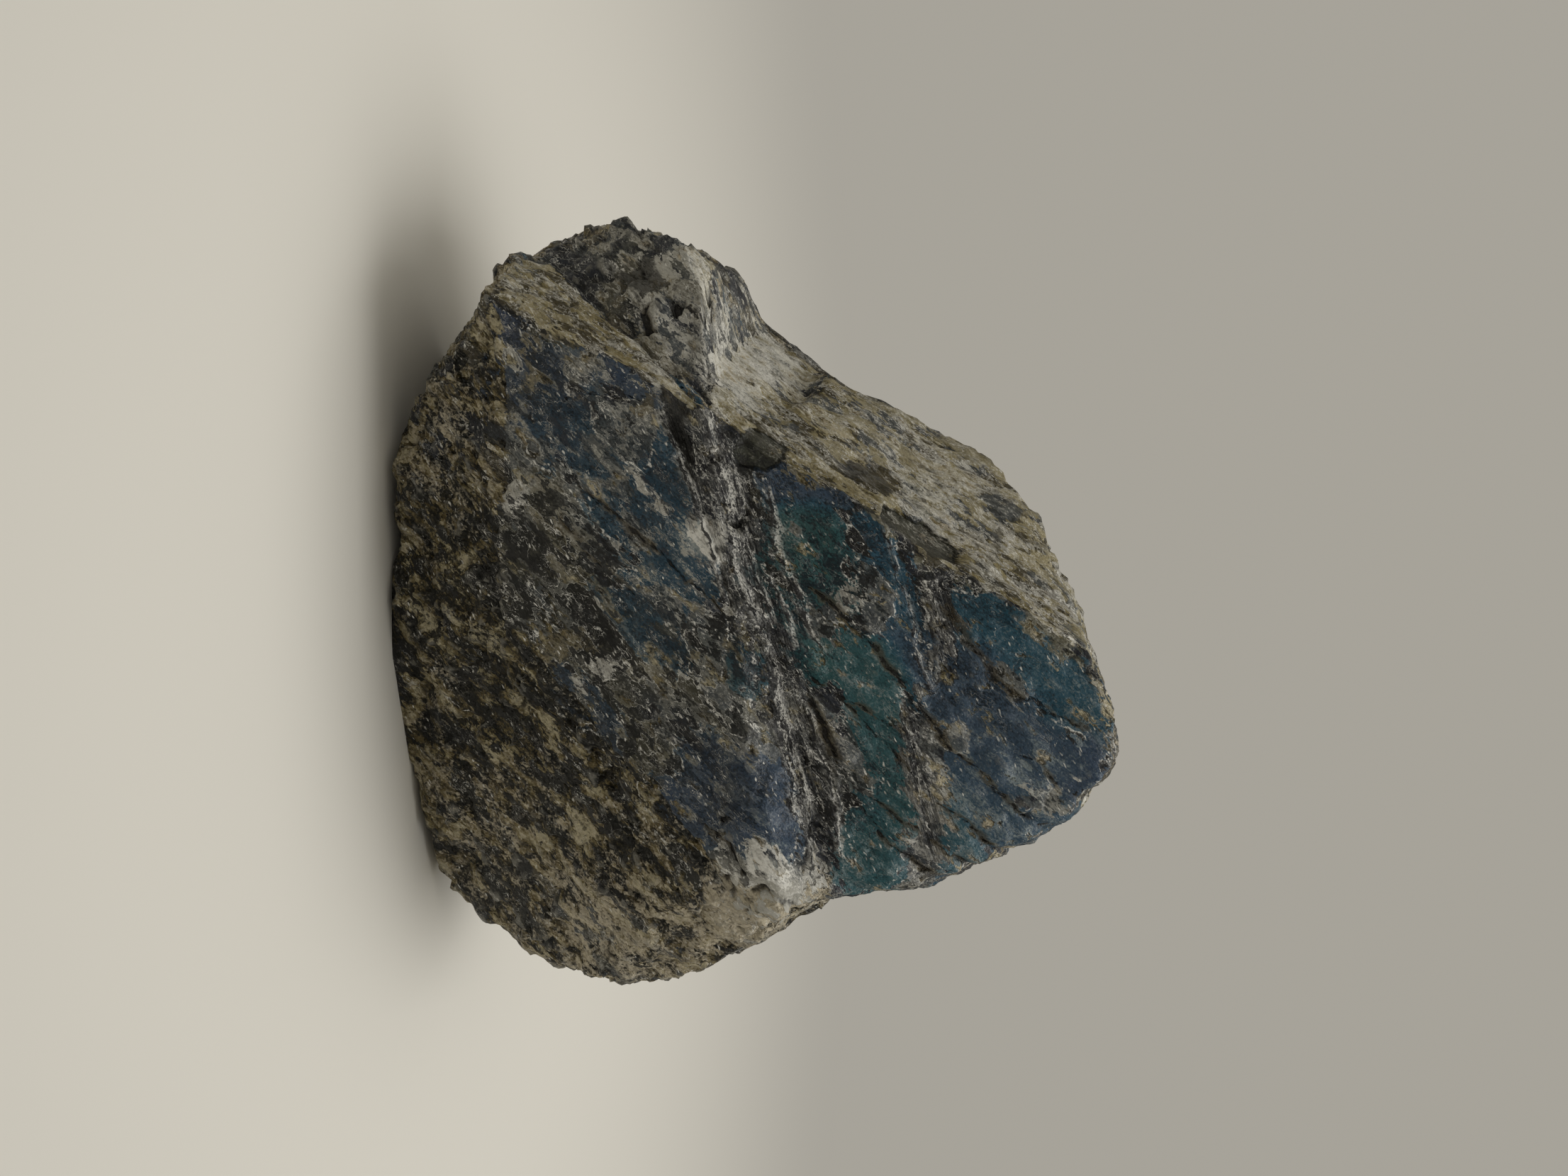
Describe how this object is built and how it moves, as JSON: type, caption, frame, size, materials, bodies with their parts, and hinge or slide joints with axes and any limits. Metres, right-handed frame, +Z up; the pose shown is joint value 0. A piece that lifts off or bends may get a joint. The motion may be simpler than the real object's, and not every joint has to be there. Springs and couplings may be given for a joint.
{
  "type": "rough labradorite chunk",
  "caption": "Rough broken chunk of labradorite with a leaning blue flash face, a streaked tan flank, a ledge, a granular bulge and a flat resting face.",
  "frame": {"origin": "on the resting face, under the middle of the stone's box", "axes": "+Z up as the stone rests, -Y the way the blue flash face looks, +X to the right as seen facing it"},
  "size_m": [0.1146, 0.0746, 0.1039],
  "materials": {
    "labradorite": "broken labradorite: dark grey-green with deep blue to teal flashes on the cleavage faces, tan streaks and a granular mottled side, satin on the cleavages and dull elsewhere"
  },
  "bodies": {
    "root": {"labradorite_chunk": "labradorite"}
  },
  "joints": []
}
